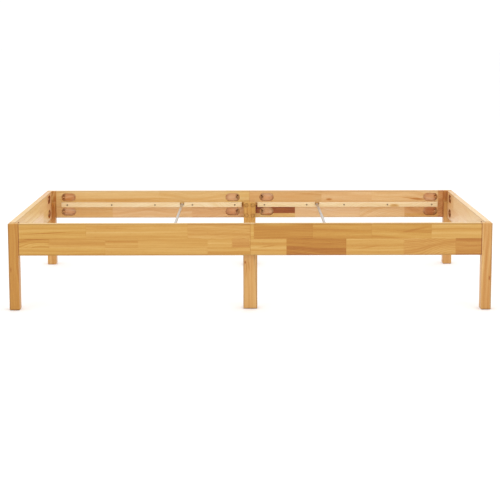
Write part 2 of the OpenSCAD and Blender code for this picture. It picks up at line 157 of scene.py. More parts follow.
class Nodes:
    """Builds one node tree. A value is a number, a tuple, or another node's output socket."""

    def __init__(self, tree, owner=None):
        self.tree = tree
        self.owner = owner

    @classmethod
    def material(cls, name):
        owner = bpy.data.materials.new(name)
        owner.use_nodes = True
        owner.node_tree.nodes.clear()
        return cls(owner.node_tree, owner)

    @classmethod
    def group(cls, name, inputs, outputs, kind="ShaderNodeTree"):
        tree = bpy.data.node_groups.new(name, kind)
        for label, socket in inputs:
            tree.interface.new_socket(label, in_out="INPUT", socket_type=socket)
        for label, socket in outputs:
            tree.interface.new_socket(label, in_out="OUTPUT", socket_type=socket)
        return cls(tree)

    def put(self, socket, value):
        if isinstance(value, bpy.types.NodeSocket):
            self.tree.links.new(value, socket)
        elif isinstance(value, tuple) and len(value) == 3 and socket.type == "RGBA":
            socket.default_value = (*value, 1.0)
        else:
            socket.default_value = value

    def add(self, kind, inputs=None, **settings):
        node = self.tree.nodes.new(kind)
        for name, value in settings.items():
            setattr(node, name, value)
        for name, value in (inputs or {}).items():
            self.put(node.inputs[name], value)
        return node

    def math(self, operation, *values):
        node = self.add("ShaderNodeMath", operation=operation)
        for socket, value in zip(node.inputs, values):
            self.put(socket, value)
        return node.outputs[0]

    def vector(self, operation, *values):
        node = self.add("ShaderNodeVectorMath", operation=operation)
        for socket, value in zip(node.inputs, values):
            self.put(socket, value)
        return node.outputs["Value" if operation in ("DOT_PRODUCT", "LENGTH") else "Vector"]

    def combine(self, x, y, z):
        return self.add("ShaderNodeCombineXYZ", {"X": x, "Y": y, "Z": z}).outputs[0]

    def separate(self, vector):
        return self.add("ShaderNodeSeparateXYZ", {"Vector": vector}).outputs[:3]

    def mix(self, factor, low, high):
        """A number from low to high as factor goes from 0 to 1."""
        return self.plus(low, factor, self.math("SUBTRACT", high, low))

    def plus(self, base, value, factor):
        """base with a share of value added."""
        return self.math("MULTIPLY_ADD", value, factor, base)

    def swing(self, value, size, base=0.0, centre=0.5):
        """base, moved up and down as value goes above and below its centre."""
        return self.plus(base, self.math("SUBTRACT", value, centre), size)

    def mix_colour(self, factor, low, high):
        node = self.add("ShaderNodeMix", data_type="RGBA")
        self.put(node.inputs[0], factor)
        self.put(node.inputs[6], low)
        self.put(node.inputs[7], high)
        return node.outputs[2]

    def step(self, value, low, high, to_low=0.0, to_high=1.0):
        """Rises smoothly from to_low to to_high as value goes from low to high."""
        inputs = {"Value": value, "From Min": low, "From Max": high, "To Min": to_low}
        inputs["To Max"] = to_high
        node = self.add("ShaderNodeMapRange", inputs, interpolation_type="SMOOTHSTEP")
        return node.outputs["Result"]

    def ramp(self, factor, stops, interpolation="LINEAR"):
        """stops are (position, colour) with a colour of one or three numbers."""
        node = self.add("ShaderNodeValToRGB", {"Fac": factor})
        ramp = node.color_ramp
        ramp.interpolation = interpolation
        while len(ramp.elements) < len(stops):
            ramp.elements.new(1.0)
        while len(ramp.elements) > len(stops):
            ramp.elements.remove(ramp.elements[-1])
        for element, (position, colour) in zip(ramp.elements, stops):
            if not isinstance(colour, tuple):
                colour = (colour,) * 3
            element.position = position
            element.color = (*colour, 1.0)
        return node.outputs["Color"]

    def noise(self, point, scales, detail=2.0, roughness=0.5):
        """Noise that changes in a metre as often as scales says for each direction."""
        vector = self.vector("MULTIPLY", point, scales)
        inputs = {"Vector": vector, "Scale": 1.0, "Detail": detail, "Roughness": roughness}
        return self.add("ShaderNodeTexNoise", inputs).outputs[0]

    def noise_along(self, place, scale, detail, roughness):
        """Noise that changes in one direction only."""
        inputs = {"W": place, "Scale": scale, "Detail": detail, "Roughness": roughness}
        return self.add("ShaderNodeTexNoise", inputs, noise_dimensions="1D").outputs[0]

    def object_point(self):
        return self.add("ShaderNodeTexCoord").outputs["Object"]

    def normal(self):
        return self.add("ShaderNodeNewGeometry").outputs["Normal"]

    def bump(self, height, strength, distance):
        inputs = {"Height": height, "Strength": strength, "Distance": distance}
        return self.add("ShaderNodeBump", inputs).outputs["Normal"]

    def surface(self, base, roughness, normal=None, metallic=0.0, specular=0.5):
        inputs = {"Base Color": base, "Roughness": roughness, "Metallic": metallic}
        inputs["Specular IOR Level"] = specular
        if normal is not None:
            inputs["Normal"] = normal
        shader = self.add("ShaderNodeBsdfPrincipled", inputs)
        output = self.add("ShaderNodeOutputMaterial")
        self.tree.links.new(shader.outputs[0], output.inputs["Surface"])


# -------- wood

RING_WIDTH = 0.0027  # metres of growth a year
TREE_RADIUS = (0.05, 0.17)  # how far the board lies from the heart of its tree
HEART_WANDER = 0.09  # metres that the heart strays along the trunk
HEART_LEAN = 0.05  # metres to a metre of trunk
RIPPLE_DEPTH = 0.005  # metres that the rings waver
RING_STOPS = [(0.0, 0.9), (0.12, 1.0), (0.38, 0.25), (0.8, 0.08), (1.0, 0.9)]  # darkness in a year
# how often the figures change in a metre: along the grain, across it and into it
RIPPLE_SCALE = (3.0, 42.0, 42.0)
STREAK_SCALE = (1.5, 62.0, 62.0)
FIBRE_SCALE = (14.0, 900.0, 900.0)
PORE_SCALE = (110.0, 2300.0, 2300.0)
YEARS_SCALE = 105.0
WANDER_SCALE = 1.4
# how much each figure darkens the wood
RING_TONE = 0.20
YEARS_TONE = 0.62
STREAK_TONE = 0.60
FIBRE_TONE = 0.35
PORE_TONE = 0.40


def make_grain_group():
    """Wood figure in a board's own directions, metres: x along the grain, y across, z into it.

    Growth rings are cylinders round a heart that wanders along the trunk, so a board cut beside
    the heart shows straight lines and one cut above it shows cathedral arches. Seed picks the
    cut. Tone is how much darker than clear wood, Height and Open feed the bump and the gloss.
    """
    g = Nodes.group(
        "oak_grain",
        [("Point", "NodeSocketVector"), ("Seed", "NodeSocketFloat")],
        [("Tone", "NodeSocketFloat"), ("Height", "NodeSocketFloat"), ("Open", "NodeSocketFloat")],
    )
    given = g.add("NodeGroupInput").outputs
    point, seed = given["Point"], given["Seed"]
    dice = g.math("MULTIPLY", seed, 371.0)
    dice = g.add("ShaderNodeTexWhiteNoise", {"W": dice}, noise_dimensions="1D").outputs["Color"]
    chance = g.separate(dice)
    moved = g.vector("ADD", point, g.vector("MULTIPLY", dice, (23.0, 31.0, 17.0)))

    along, across, depth = g.separate(point)
    angle = g.math("MULTIPLY", chance[0], math.pi)
    radius = g.mix(chance[1], *TREE_RADIUS)
    trunk = g.math("ADD", along, g.math("MULTIPLY", seed, 91.0))
    wander = g.swing(g.noise_along(trunk, WANDER_SCALE, 2.0, 0.5), HEART_WANDER)
    drift = g.plus(wander, along, g.swing(chance[2], HEART_LEAN))
    heart_across = g.plus(drift, g.math("COSINE", angle), radius)
    below = g.math("MULTIPLY", radius, -1.0)
    heart_depth = g.plus(drift, g.math("SINE", angle), below)
    offset_across = g.math("SUBTRACT", across, heart_across)
    offset_depth = g.math("SUBTRACT", depth, heart_depth)
    distance = g.vector("LENGTH", g.combine(offset_across, offset_depth, 0.0))
    ripple = g.noise(moved, RIPPLE_SCALE)
    distance = g.swing(ripple, RIPPLE_DEPTH, distance)

    year = g.math("FRACT", g.math("DIVIDE", distance, RING_WIDTH))
    ring = g.ramp(year, RING_STOPS)
    growth = g.math("ADD", distance, g.math("MULTIPLY", seed, 7.0))
    years = g.noise_along(growth, YEARS_SCALE, 3.0, 0.6)
    streak = g.noise(moved, STREAK_SCALE, detail=4.0, roughness=0.6)
    fibre = g.noise(moved, FIBRE_SCALE)
    pore = g.noise(moved, PORE_SCALE, detail=1.0)
    pore = g.math("MULTIPLY", g.step(pore, 0.6, 0.7), g.mix(ring, 0.25, 1.0))

    tone = g.swing(ring, RING_TONE, centre=0.4)
    tone = g.swing(years, YEARS_TONE, tone)
    tone = g.swing(streak, STREAK_TONE, tone)
    tone = g.swing(fibre, FIBRE_TONE, tone)
    tone = g.plus(tone, pore, PORE_TONE)
    height = g.swing(fibre, 0.5, g.math("MULTIPLY", pore, -1.0))
    g.add("NodeGroupOutput", {"Tone": tone, "Height": height, "Open": pore})
    return g.tree


TAN = (0.555, 0.294, 0.053)  # clear heartwood, linear
PINK = (0.575, 0.280, 0.095)  # the pinkest staves
PINE = (0.76, 0.57, 0.32)
BEECH = (0.62, 0.40, 0.20)
FRESH_CUT_LIT = (0.86, 0.31, 0.090)  # bare cut wood, made redder as painted light against the shade in pockets
FRESH_CUT_LIT_SHARE = 0.7  # of it on the floors of pockets
STAINED_SHARE = 0.2  # where a mark runs over the fresh cut
RIM_SHADE_TINT = (0.60, 0.58, 0.66)  # painted shade on the outer edges
POCKET_LIT_DENSITY = 0.62  # on the floors of pockets: bare cut wood, paler as painted light against their shade
POCKET_TONE = 0.9  # how much of the grain shows there
# density is the power that a wood's colour is raised to. These multiply it
INNER_DENSITY = 0.71  # the inner faces took less oil
TOP_SHEEN_DENSITY = 0.7  # painted sheen makes the top faces paler
# and these are added to it
EDGE_SHADE_DENSITY = 0.5  # painted shade on rounded upright edges
STAVE_LINE = 0.22  # along the glue lines
CORNER_GAP_SHADE = 1.0  # painted shadow in the gap where a rail meets a corner leg
SEAM_LINE = 0.4  # where two side rails meet
WALL_SHADE_DENSITY = 1.0  # painted shade on the walls of pockets
END_DENSITY = 0.12  # where the grain is cut across
DENSEST = 3.0  # a ramp holds densities as shares of this
# half widths of the lines, in metres
BUTT_WIDTH = 0.0004
GLUE_WIDTH = 0.0003
CORNER_GAP_WIDTH = 0.003
SEAM_WIDTH = 0.0008
NEAR_SEAM = 0.1  # a joint this near the middle of the bed is a seam
# how far a face turns to a direction, where a look starts and where it is complete
CUT_ACROSS = (0.6, 0.85)
UPWARD = (0.6, 0.9)
UPRIGHT = (0.5, 0.9)
# and where it starts to fade and has gone
TO_THE_SIDE = (0.80, 0.98)
INWARD = (-0.8, -0.4)
# metres from an edge or a face over which looks change
RIM_FADE = (0.002, 0.008)
POCKET_START = (0.0005, 0.0020)  # below a rail's inner face
POCKET_END = (0.003, 0.001)  # short of its outer face
POCKET_MARGIN = 0.004  # off its top and bottom faces
MARK_FADE = (0.25, 1.15)  # in half sizes of a mark
WOBBLE_SCALE = (60.0, 60.0, 60.0)  # raggedness of a mark's outline
WOOD_GLOSS = (0.40, 0.46)  # roughness where the grain is pale and where it is dark
PORE_ROUGHNESS = 0.25
END_ROUGHNESS = 0.15
WOOD_BUMP = 0.35
WOOD_RELIEF = 0.0002  # metres


def turned(n, vector, axis):
    """A point with its coordinates in the board's order: along, across, depth."""
    x, y, z = n.separate(vector)
    return {"X": (x, z, y), "Y": (y, z, x), "Z": (z, x, y)}[axis]


def mark_mask(n, along, across, mark, wobble):
    """1 in the middle of an elliptical mark and 0 at its ragged edge."""
    at_along, at_across, half_length, half_width, tilt = mark
    du = n.math("SUBTRACT", along, at_along)
    dv = n.math("SUBTRACT", across, at_across)
    c, s = math.cos(math.radians(tilt)), math.sin(math.radians(tilt))
    u = n.plus(n.math("MULTIPLY", du, c / half_length), dv, s / half_length)
    v = n.plus(n.math("MULTIPLY", du, -s / half_width), dv, c / half_width)
    spread = n.vector("LENGTH", n.combine(u, v, wobble))
    return n.step(spread, *MARK_FADE, 1.0, 0.0)


def in_pocket(n, point, across, outward, box):
    """1 on surfaces below the inner face of a rail, away from its top and bottom faces."""
    low, high = box
    out = Vector(outward)
    inner, outer = sorted((abs(out.dot(low)), abs(out.dot(high))))
    depth = n.math("SUBTRACT", n.vector("DOT_PRODUCT", point, outward), inner)
    below = n.step(depth, *POCKET_START)
    fade, gone = (outer - inner - short for short in POCKET_END)
    deep = n.math("MULTIPLY", below, n.step(depth, fade, gone, 1.0, 0.0))
    from_middle = n.math("SUBTRACT", across, (low.z + high.z) / 2)
    half = (high.z - low.z) / 2 - POCKET_MARGIN
    inside = n.math("LESS_THAN", n.math("ABSOLUTE", from_middle), half)
    return n.math("MULTIPLY", deep, inside)


def rim_shade_mask(n, point, axis, box):
    """Where painted shade darkens the edges: 1 along a board's long edges and 0 on the rest of its
    faces; on legs the outer edges.
    """
    low, high = box
    gaps = []
    for place, start, end in zip(n.separate(point), low, high):
        if axis == "Z":
            gaps.append(n.math("SUBTRACT", max(-start, end), n.math("ABSOLUTE", place)))
        else:
            middle = n.math("SUBTRACT", place, (start + end) / 2)
            gaps.append(n.math("SUBTRACT", (end - start) / 2, n.math("ABSOLUTE", middle)))
    first, second = (gap for gap, name in zip(gaps, "XYZ") if name != axis)
    nearest = n.math("MAXIMUM", first, second)
    if axis == "Z":
        foot = n.math("SUBTRACT", n.separate(point)[2], low.z)
        foot = n.math("MAXIMUM", foot, n.math("MINIMUM", first, second))
        nearest = n.math("MINIMUM", nearest, foot)
    return n.step(nearest, *RIM_FADE, 1.0, 0.0)


def stave_map(n, along, across, start, length, rows):
    """A colour of each stave's density, pinkness and seed, and a mask of the glue lines."""
    share = n.math("DIVIDE", n.math("SUBTRACT", along, start), length)
    stave, line, below = None, 0.0, None
    for top, staves in rows:
        stops = [(max(0.0, (place - start) / length), (density / DENSEST, pink, seed))
                 for place, density, pink, seed in staves]
        row = n.ramp(share, stops, "CONSTANT")
        butts = 0.0
        for place, *_ in staves[1:]:
            butts = n.math("MAXIMUM", butts, n.math("COMPARE", along, place, BUTT_WIDTH))
        if stave is None:
            stave, line = row, butts
        else:
            upper = n.math("GREATER_THAN", across, below)
            stave = n.mix_colour(upper, stave, row)
            line = n.mix(upper, line, butts)
            line = n.math("MAXIMUM", line, n.math("COMPARE", across, below, GLUE_WIDTH))
        below = top
    return stave, line


def with_joints(n, along, ends, line):
    """Adds dark lines at both ends of a rail: thin joint lines at the seam, and wide painted
    shadows in the gaps at the corner legs.
    """
    for joint in ends:
        at_corner = abs(joint) > NEAR_SEAM
        band = n.math("COMPARE", along, joint, CORNER_GAP_WIDTH if at_corner else SEAM_WIDTH)
        band = n.math("MULTIPLY", band, CORNER_GAP_SHADE if at_corner else SEAM_LINE)
        line = n.math("MAXIMUM", line, band)
    return line


def all_marks(n, point, along, across, marks):
    """The density that knots, streaks and painted shadows add."""
    wobble = n.noise(point, WOBBLE_SCALE)
    wobble = n.swing(wobble, 1.2, centre=0.35)
    extra = 0.0
    for *shape, strength in marks:
        mask = mark_mask(n, along, across, shape, wobble)
        extra = n.plus(extra, mask, strength)
    return extra


def upright_edge(n, facing):
    """1 on rounded upright edges, whose normals lie between two sides; painted shade darkens them.
    """
    broad = n.math("MAXIMUM", n.math("ABSOLUTE", facing[0]), n.math("ABSOLUTE", facing[1]))
    upright = n.math("SUBTRACT", 1.0, n.math("ABSOLUTE", facing[2]))
    beside = n.step(broad, *TO_THE_SIDE, 1.0, 0.0)
    return n.math("MULTIPLY", beside, n.step(upright, *UPRIGHT))


def wood_material(name, axis, box, rows, marks=(), outward=None, tan=TAN, rim=0.0, pale=1.0,
                  heart=(0.0, 0.0)):
    """Oiled glued-up hardwood.

    rows go from the lowest: (top of the row across the grain, staves), and a stave is
    (where it starts along the grain, density, pinkness, seed). marks are knots, streaks and
    painted shadows: (along, across, half length, half width, tilt in degrees, added density).
    outward is the direction of the outer face, where the faces differ. rim is how dark the
    painted shade on the edges is. pale below 1 makes the inner faces paler and the painted
    sheen on the top faces stronger. heart is the place of the heart of the tree, across the
    board and into it.
    """
    n = Nodes.material(name)
    point = n.object_point()
    along, across, depth = turned(n, point, axis)
    index = "XYZ".index(axis)
    ends = [corner[index] for corner in box]
    stave, line = stave_map(n, along, across, ends[0], ends[1] - ends[0], rows)
    line = n.math("MULTIPLY", line, STAVE_LINE)
    if outward is not None:
        line = with_joints(n, along, ends, line)
    density, pink, seed = n.add("ShaderNodeSeparateColor", {"Color": stave}).outputs[:3]
    density = n.math("MULTIPLY", density, DENSEST)
    extra = all_marks(n, point, along, across, marks)

    from_heart = [n.math("SUBTRACT", place, shift) for place, shift in zip((across, depth), heart)]
    cut = {"Point": n.combine(along, *from_heart), "Seed": seed}
    tone, height, pores = n.add("ShaderNodeGroup", cut, node_tree=GRAIN).outputs[:3]
    density = n.math("MULTIPLY", density, n.math("ADD", 1.0, tone))
    density = n.math("ADD", density, extra)
    density = n.math("ADD", line, density)

    normal = n.normal()
    facing = n.separate(normal)
    cut_across = n.step(n.math("ABSOLUTE", facing[index]), *CUT_ACROSS)
    density = n.plus(density, cut_across, END_DENSITY)
    # painted shade on the rounded upright edges
    density = n.plus(density, upright_edge(n, facing), EDGE_SHADE_DENSITY)
    # painted sheen makes the up-facing faces paler
    upward = n.step(facing[2], *UPWARD)
    density = n.math("MULTIPLY", density, n.mix(upward, 1.0, TOP_SHEEN_DENSITY * pale))
    hue = n.mix_colour(pink, tan, PINK)
    if outward is not None:
        facing_out = n.vector("DOT_PRODUCT", normal, outward)
        inner = n.step(facing_out, *INWARD, INNER_DENSITY * pale, 1.0)
        density = n.math("MULTIPLY", density, inner)
        deep = in_pocket(n, point, across, outward, box)
        # the floors of pockets are bare cut wood, made paler and redder as painted light against
        # the shade in them
        floor = n.math("MULTIPLY", deep, n.step(facing_out, *INWARD, 1.0, 0.0))
        raw = n.plus(POCKET_LIT_DENSITY, tone, POCKET_TONE)
        density = n.mix(floor, density, n.math("ADD", raw, extra))
        fresh = n.mix(extra, FRESH_CUT_LIT_SHARE, STAINED_SHARE)
        hue = n.mix_colour(n.math("MULTIPLY", floor, fresh), hue, FRESH_CUT_LIT)
        # painted shade on the walls of pockets
        wall = n.math("SUBTRACT", deep, floor)
        density = n.plus(density, wall, WALL_SHADE_DENSITY)
    colour = n.add("ShaderNodeGamma", {"Color": hue, "Gamma": density}).outputs[0]
    # painted shade darkens the outer edges, but not the top faces
    if rim > 0.0:
        rim_shade_share = n.math("SUBTRACT", rim, n.math("MULTIPLY", upward, rim))
        rim_shade_share = n.math("MULTIPLY", rim_shade_share, rim_shade_mask(n, point, axis, box))
        colour = n.mix_colour(rim_shade_share, colour, n.vector("MULTIPLY", colour, RIM_SHADE_TINT))

    rough = n.plus(n.mix(tone, *WOOD_GLOSS), pores, PORE_ROUGHNESS)
    rough = n.plus(rough, cut_across, END_ROUGHNESS)
    height = n.plus(height, line, -1.0)
    n.surface(colour, rough, n.bump(height, WOOD_BUMP, WOOD_RELIEF))
    return n.owner


# staves of the side rails, in metres along X; each row ends at a height Z
SIDE_RAILS = {
    "front_right": [
        (0.310, [(0.0, 0.98, 0.1, 0.31), (0.153, 1.42, 0.0, 0.52), (0.406, 0.97, 0.1, 0.13),
                 (0.653, 1.03, 0.2, 0.77), (0.874, 1.30, 0.2, 0.05)]),
        (0.375, [(0.0, 0.96, 0.0, 0.71), (0.015, 1.30, 0.0, 0.22), (0.264, 1.15, 0.0, 0.93),
                 (0.515, 1.08, 0.0, 0.41), (0.769, 0.96, 0.1, 0.64)]),
    ],
    "front_left": [
        (0.272, [(-0.987, 1.01, 0.0, 0.17), (-0.62, 0.98, 0.1, 0.85), (-0.184, 1.0, 0.1, 0.36)]),
        (0.310, [(-0.987, 1.13, 0.0, 0.58), (-0.859, 1.06, 0.1, 0.27), (-0.481, 0.96, 0.1, 0.09),
                 (-0.08, 1.13, 0.3, 0.45), (-0.006, 1.0, 0.1, 0.72)]),
        (0.375, [(-0.987, 0.94, 0.0, 0.66), (-0.70, 0.95, 0.1, 0.19), (-0.267, 1.03, 0.2, 0.81)]),
    ],
    "back_left": [
        (0.301, [(-0.987, 1.15, 0.6, 0.35), (-0.70, 1.02, 0.9, 0.56), (-0.295, 1.17, 1.0, 0.91)]),
        (0.375, [(-0.987, 1.00, 0.4, 0.24), (-0.46, 1.03, 0.4, 0.68), (-0.12, 1.05, 0.2, 0.43)]),
    ],
    "back_right": [
        (0.260, [(0.0, 1.05, 0.3, 0.15), (0.228, 0.92, 0.9, 0.33), (0.56, 1.02, 0.8, 0.88),
                 (0.79, 1.40, 0.5, 0.51), (0.957, 1.7, 1.0, 0.44)]),
        (0.301, [(0.0, 1.60, 0.6, 0.15), (0.03, 2.95, 0.5, 0.62), (0.228, 0.90, 1.0, 0.33),
                 (0.56, 0.99, 0.8, 0.88), (0.79, 1.40, 0.9, 0.51), (0.957, 1.7, 1.0, 0.44)]),
        (0.375, [(0.0, 1.14, 0.7, 0.79), (0.363, 1.02, 0.8, 0.12), (0.62, 0.98, 0.7, 0.96),
                 (0.957, 1.6, 1.0, 0.44)]),
    ],
}
END_RAILS = {  # the same along Y
    "left": [
        (0.304, [(-0.487, 0.93, 1.0, 0.44), (-0.11, 1.01, 0.9, 0.61), (0.24, 1.33, 0.4, 0.29),
                 (0.40, 1.55, 1.0, 0.55)]),
        (0.375, [(-0.487, 1.18, 0.4, 0.83), (-0.25, 1.18, 0.3, 0.38), (0.13, 1.27, 0.6, 0.02),
                 (0.34, 1.45, 1.0, 0.71)]),
    ],
    "right": [
        (0.304, [(-0.487, 0.84, 0.8, 0.53), (-0.20, 0.92, 0.8, 0.07), (0.16, 1.16, 0.9, 0.74)]),
        (0.375, [(-0.487, 0.98, 0.6, 0.69), (-0.06, 1.03, 0.8, 0.48), (0.31, 1.30, 0.8, 0.21)]),
    ],
}
# knots, streaks and painted shadows: along, height, half length, half width, tilt in degrees,
# added density
RAIL_MARKS = {
    "front_left": [
        (-0.862, 0.335, 0.125, 0.0028, 3.0, 0.40), (-0.925, 0.308, 0.065, 0.003, 0.0, 0.35),
        (-0.60, 0.356, 0.10, 0.003, -1.0, 0.22),
    ],
    "front_right": [
        (0.705, 0.349, 0.075, 0.006, 12.0, 0.25), (0.12, 0.370, 0.11, 0.004, 0.0, -0.35),
        (0.07, 0.276, 0.05, 0.004, 9.0, 0.25), (0.50, 0.272, 0.06, 0.004, 8.0, 0.25),
    ],
    "back_left": [
        (-0.935, 0.331, 0.045, 0.006, 0.0, 0.35), (-0.50, 0.337, 0.16, 0.004, 0.0, 0.2),
        # (-0.035, 0.306) is painted shadow in the gap between the ledger's end and the middle leg
        (-0.035, 0.306, 0.008, 0.018, 0.0, 1.0), (-0.094, 0.270, 0.045, 0.024, 0.0, 0.19),
        (-0.915, 0.343, 0.045, 0.024, 0.0, 0.10), (-0.69, 0.331, 0.27, 0.011, 0.0, 0.26),
    ],
    "back_right": [
        (0.405, 0.331, 0.019, 0.007, 0.0, 1.0), (0.852, 0.333, 0.048, 0.0065, -4.0, 1.1),
        (0.80, 0.340, 0.03, 0.003, 3.0, 0.5), (0.30, 0.360, 0.10, 0.003, -4.0, 0.35),
        (0.055, 0.287, 0.03, 0.006, 10.0, 1.0), (0.924, 0.270, 0.040, 0.023, 0.0, 0.75),
        # (0.034, 0.288) is painted shadow in the gap between the middle leg and the ledger's end
        (0.034, 0.288, 0.007, 0.030, 0.0, 1.0), (0.16, 0.294, 0.07, 0.004, 2.0, 0.8),
    ],
}
LEGS = {  # density, pinkness, seed
    "leg_front_left": (1.24, 0.1, 0.42),
    "leg_front_right": (1.04, 0.55, 0.28),
    "leg_back_left": (1.00, 0.5, 0.75),
    "leg_back_right": (1.00, 0.6, 0.14),
    "mid_leg_front": (0.90, 0.5, 0.29),
    "mid_leg_back": (1.06, 0.2, 0.87),
}
LEG_MARKS = {  # height, place across, half length, half width, tilt, added density
    "mid_leg_front": [
        (0.203, -0.0215, 0.008, 0.0045, 0.0, 1.3), (0.170, -0.0175, 0.045, 0.003, 3.0, 0.4),
        (0.185, -0.005, 0.030, 0.0035, -6.0, 0.35),
    ],
    "leg_front_left": [(0.176, -1.021, 0.014, 0.004, 0.0, 0.5)],
    "leg_front_right": [
        (0.138, 1.021, 0.012, 0.0035, 0.0, 0.9), (0.25, 0.990, 0.16, 0.007, 0.0, -0.22),
    ],
    "leg_back_left": [
        (0.265, -1.0, 0.075, 0.022, 0.0, 0.55), (0.335, -0.99, 0.02, 0.012, 0.0, 0.4),
    ],
    "leg_back_right": [(0.350, 1.0, 0.035, 0.026, 0.0, 0.6)],
    "mid_leg_back": [
        (0.27, -0.010, 0.06, 0.004, 0.0, 0.35), (0.26, 0.010, 0.05, 0.003, 0.0, 0.3),
    ],
}
LEDGER_KNOTS = {"back_right": [(0.735, 0.302, 0.028, 0.010, 0.0, 1.25)]}
LEDGER_SEEDS = (0.17, 0.36, 0.55, 0.74)
SIDE_RIM_SHADE = 0.5  # how dark the painted shade on the edges is
END_RIM_SHADE = 0.4
LEG_RIM_SHADE = 0.65
# below 1 it also strengthens the painted sheen on the end rails' top faces
END_RAIL_PALE = 0.76
END_RAIL_HEART = 0.62  # metres from the middle of the bed towards the rail
MID_LEG_HEART = 0.4  # metres to the left
OUTWARD = {"front": (0, -1, 0), "back": (0, 1, 0), "left": (-1, 0, 0), "right": (1, 0, 0)}

GRAIN = make_grain_group()


def give(node, material):
    """Puts a material on a CAD node."""
    mesh = NODES[node].data
    mesh.materials.clear()
    mesh.materials.append(material)


def finish_woods():
    """The woods of the frame, each piece with its own staves or its own cut."""
    for place, rows in SIDE_RAILS.items():
        node = f"side_rail_{place}"
        side = OUTWARD[place.split("_")[0]]
        marks = RAIL_MARKS[place]
        give(node, wood_material(f"oak_{node}", "X", BOX[node], rows, marks, side, rim=SIDE_RIM_SHADE))
    for end, rows in END_RAILS.items():
        node = f"end_rail_{end}"
        side = OUTWARD[end]
        heart = (0.0, END_RAIL_HEART * side[0])
        wood = wood_material(f"oak_{node}", "Y", BOX[node], rows, outward=side, rim=END_RIM_SHADE,
                             pale=END_RAIL_PALE, heart=heart)
        give(node, wood)
    for node, looks in LEGS.items():
        rows = [(HI.z, [(LO.z, *looks)])]
        marks = LEG_MARKS.get(node, ())
        heart = (-MID_LEG_HEART, 0.0) if node.startswith("mid") else (0.0, 0.0)
        wood = wood_material(f"oak_{node}", "Z", BOX[node], rows, marks, rim=LEG_RIM_SHADE, heart=heart)
        give(node, wood)


# -------- worn and machined edges

SAME_POINT = 1e-5  # metres
ON_FACE = 1e-4
SHARP_ANGLE = math.radians(35)
EDGE_INPUTS = ("Long X", "Long Y", "Long Z", "Ends", "Rims", "Inside")
RAIL_ROUNDING = 0.0015  # widths of the bevels, in metres
LEG_ROUNDING = 0.0016
LEDGER_ROUNDING = 0.0010
WASHER_ROUNDING = 0.0004


def edge_tree():
    """Geometry nodes that join the CAD mesh and weigh its edges for the bevel.

    Long edges on the box of the part weigh 1, edges on its end faces weigh Ends, rims of
    pockets and holes weigh Rims, and edges away from the box weigh Inside.
    """
    mesh = ("Geometry", "NodeSocketGeometry")
    weights = [(label, "NodeSocketFloat") for label in EDGE_INPUTS]
    g = Nodes.group("edge_weights", [mesh, *weights], [mesh], "GeometryNodeTree")
    given = g.add("NodeGroupInput").outputs
    joined = g.add("GeometryNodeMergeByDistance", {"Geometry": given[0], "Distance": SAME_POINT})
    plain = g.add("GeometryNodeRemoveAttribute", {"Geometry": joined.outputs[0]})
    plain.inputs["Name"].default_value = "custom_normal"
    box = g.add("GeometryNodeBoundBox", {"Geometry": plain.outputs[0]})
    place = g.add("GeometryNodeInputPosition").outputs[0]
    from_low = g.separate(g.vector("ABSOLUTE", g.vector("SUBTRACT", place, box.outputs["Min"])))
    from_high = g.separate(g.vector("ABSOLUTE", g.vector("SUBTRACT", place, box.outputs["Max"])))
    touching = [g.math("LESS_THAN", g.math("MINIMUM", a, b), ON_FACE)
                for a, b in zip(from_low, from_high)]
    total = g.math("ADD", g.math("ADD", touching[0], touching[1]), touching[2])
    at_end = 0.0
    for touch, label in zip(touching, EDGE_INPUTS):
        at_end = g.plus(at_end, touch, given[label])
    corner = g.math("GREATER_THAN", total, 1.5)
    rim = g.math("GREATER_THAN", total, 0.5)
    weight = g.mix(at_end, 1.0, given["Ends"])
    weight = g.mix(corner, g.mix(rim, given["Inside"], given["Rims"]), weight)
    bend = g.add("GeometryNodeInputMeshEdgeAngle").outputs["Unsigned Angle"]
    sharp = g.math("GREATER_THAN", bend, SHARP_ANGLE)
    weight = g.math("MULTIPLY", weight, sharp)
    values = {"Geometry": plain.outputs[0], "Name": "bevel_weight_edge", "Value": weight}
    stored = g.add("GeometryNodeStoreNamedAttribute", values, domain="EDGE", data_type="FLOAT")
    smooth = g.add("GeometryNodeSetShadeSmooth", {"Geometry": stored.outputs[0]})
    smooth.inputs["Shade Smooth"].default_value = True
    kept = g.add("GeometryNodeSetShadeSmooth", {"Geometry": smooth.outputs[0]}, domain="EDGE")
    left_sharp = g.math("MULTIPLY", sharp, g.math("LESS_THAN", weight, 0.01))
    g.put(kept.inputs["Selection"], left_sharp)
    kept.inputs["Shade Smooth"].default_value = False
    g.add("NodeGroupOutput", {"Geometry": kept.outputs[0]})
    return g.tree


EDGES = edge_tree()


def round_edges(node, axis, width, ends, rims=0.35, inside=0.0):
    """Rounds a CAD node's edges with modifiers; its mesh stays as it is."""
    piece = NODES[node]
    weights = piece.modifiers.new("edge_weights", "NODES")
    weights.node_group = EDGES
    values = {f"Long {letter}": letter == axis for letter in "XYZ"}
    values.update(Ends=ends, Rims=rims, Inside=inside)
    for item in EDGES.interface.items_tree:
        if item.in_out == "INPUT" and item.name in values:
            weights[item.identifier] = float(values[item.name])
    bevel = piece.modifiers.new("rounding", "BEVEL")
    bevel.limit_method = "WEIGHT"
    bevel.width = width
    bevel.segments = 3
    bevel.use_clamp_overlap = False
    shading = piece.modifiers.new("shading", "WEIGHTED_NORMAL")
    shading.keep_sharp = True
    shading.weight = 100


def finish_edges():
    """Rounds the edges of the wood and the washers."""
    for place in CORNERS:
        round_edges(f"side_rail_{place}", "X", RAIL_ROUNDING, ends=0.25)
        round_edges(f"leg_{place}", "Z", LEG_ROUNDING, ends=0.8)
        round_edges(f"ledger_{place}", "X", LEDGER_ROUNDING, ends=0.4)
    for end in ENDS:
        round_edges(f"end_rail_{end}", "Y", RAIL_ROUNDING, ends=0.25)
    for side in SIDES:
        round_edges(f"mid_leg_{side}", "Z", LEG_ROUNDING, ends=0.5)
    for node in NODES:
        if "washers" in node:
            round_edges(node, "Z", WASHER_ROUNDING, ends=1.0, rims=1.0, inside=1.0)


# -------- metals and plain woods

